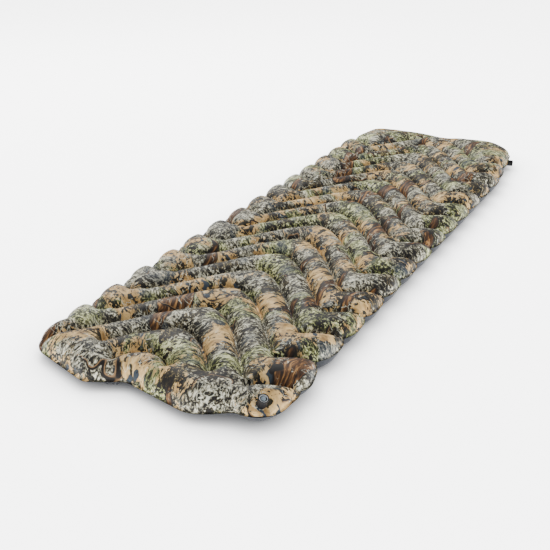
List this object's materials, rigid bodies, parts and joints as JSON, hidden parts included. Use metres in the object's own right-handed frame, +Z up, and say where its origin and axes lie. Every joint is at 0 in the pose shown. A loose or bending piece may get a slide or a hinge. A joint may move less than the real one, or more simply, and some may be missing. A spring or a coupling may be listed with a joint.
{
  "type": "inflatable sleeping pad",
  "caption": "Inflatable sleeping pad of two welded fabric skins with V-shaped air chambers, edge rail chambers and a twist valve at each end.",
  "frame": {"origin": "on the ground under the middle of the pad", "axes": "+Y along the pad towards its far (head) end, +X across to the right edge where both valves are, +Z up"},
  "size_m": [0.5839, 1.8297, 0.0691],
  "materials": {
    "camo_fabric": "matte",
    "slate_fabric": "matte",
    "soft_flange": "satin",
    "black_plastic": "satin",
    "grey_plastic": "satin",
    "pale_ring": "satin",
    "seal_rubber": "matte"
  },
  "bodies": {
    "pad": {"top_fabric": "camo_fabric", "bottom_fabric": "slate_fabric", "near_valve_weld_flange": "soft_flange", "near_valve_barrel": "black_plastic", "near_valve_centre_plug": "grey_plastic", "near_valve_plug_seal": "seal_rubber", "near_valve_barrel_seal": "seal_rubber", "far_valve_weld_flange": "soft_flange", "far_valve_barrel": "black_plastic", "far_valve_centre_plug": "grey_plastic", "far_valve_plug_seal": "seal_rubber", "far_valve_barrel_seal": "seal_rubber"},
    "near_sleeve": {"near_valve_nozzle_sleeve": "black_plastic", "near_valve_mouth_ring": "pale_ring"},
    "near_cap": {"near_valve_twist_cap": "black_plastic"},
    "far_sleeve": {"far_valve_nozzle_sleeve": "black_plastic", "far_valve_mouth_ring": "pale_ring"},
    "far_cap": {"far_valve_twist_cap": "black_plastic"}
  },
  "joints": [
    {"name": "near_valve_lift", "type": "slide", "parent": "pad", "child": "near_sleeve", "axis": [0.3651, -0.2851, 0.8862], "range_m": [0, 0.006]},
    {"name": "near_valve_twist", "type": "hinge", "parent": "near_sleeve", "child": "near_cap", "pos_m": [0.256, -0.87, 0.046], "axis": [0.3651, -0.2851, 0.8862], "range_deg": [0, 90]},
    {"name": "far_valve_lift", "type": "slide", "parent": "pad", "child": "far_sleeve", "axis": [0.8996, 0.4198, -0.12], "range_m": [0, 0.006]},
    {"name": "far_valve_twist", "type": "hinge", "parent": "far_sleeve", "child": "far_cap", "pos_m": [0.246, 0.779, 0.024], "axis": [0.8996, 0.4198, -0.12], "range_deg": [0, 90]}
  ],
  "couplings": [
    {"joint": "near_valve_twist", "follows": "near_valve_lift", "rad_per_m": 261.79},
    {"joint": "far_valve_twist", "follows": "far_valve_lift", "rad_per_m": 261.79}
  ]
}
